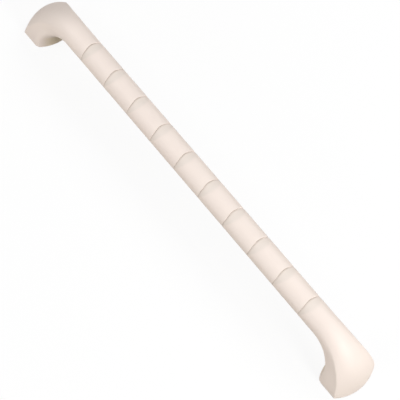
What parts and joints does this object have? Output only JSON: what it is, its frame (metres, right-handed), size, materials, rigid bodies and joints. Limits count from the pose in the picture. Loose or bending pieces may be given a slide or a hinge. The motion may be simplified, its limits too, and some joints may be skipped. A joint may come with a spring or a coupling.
{
  "type": "grab bar",
  "caption": "Moulded plastic grab bar: a round rail with grip steps along its front that bends at each end into a flared foot, made to be fixed flat to a wall.",
  "frame": {"origin": "middle of the bar's length, on the wall plane that both feet lie on", "axes": "+X along the bar, the way its grip steps face; +Y across the bar; +Z away from the wall"},
  "size_m": [0.61, 0.064, 0.07],
  "materials": {
    "ivory_plastic": "fine moulded satin"
  },
  "bodies": {
    "root": {"grab_bar": "ivory_plastic"}
  },
  "joints": []
}
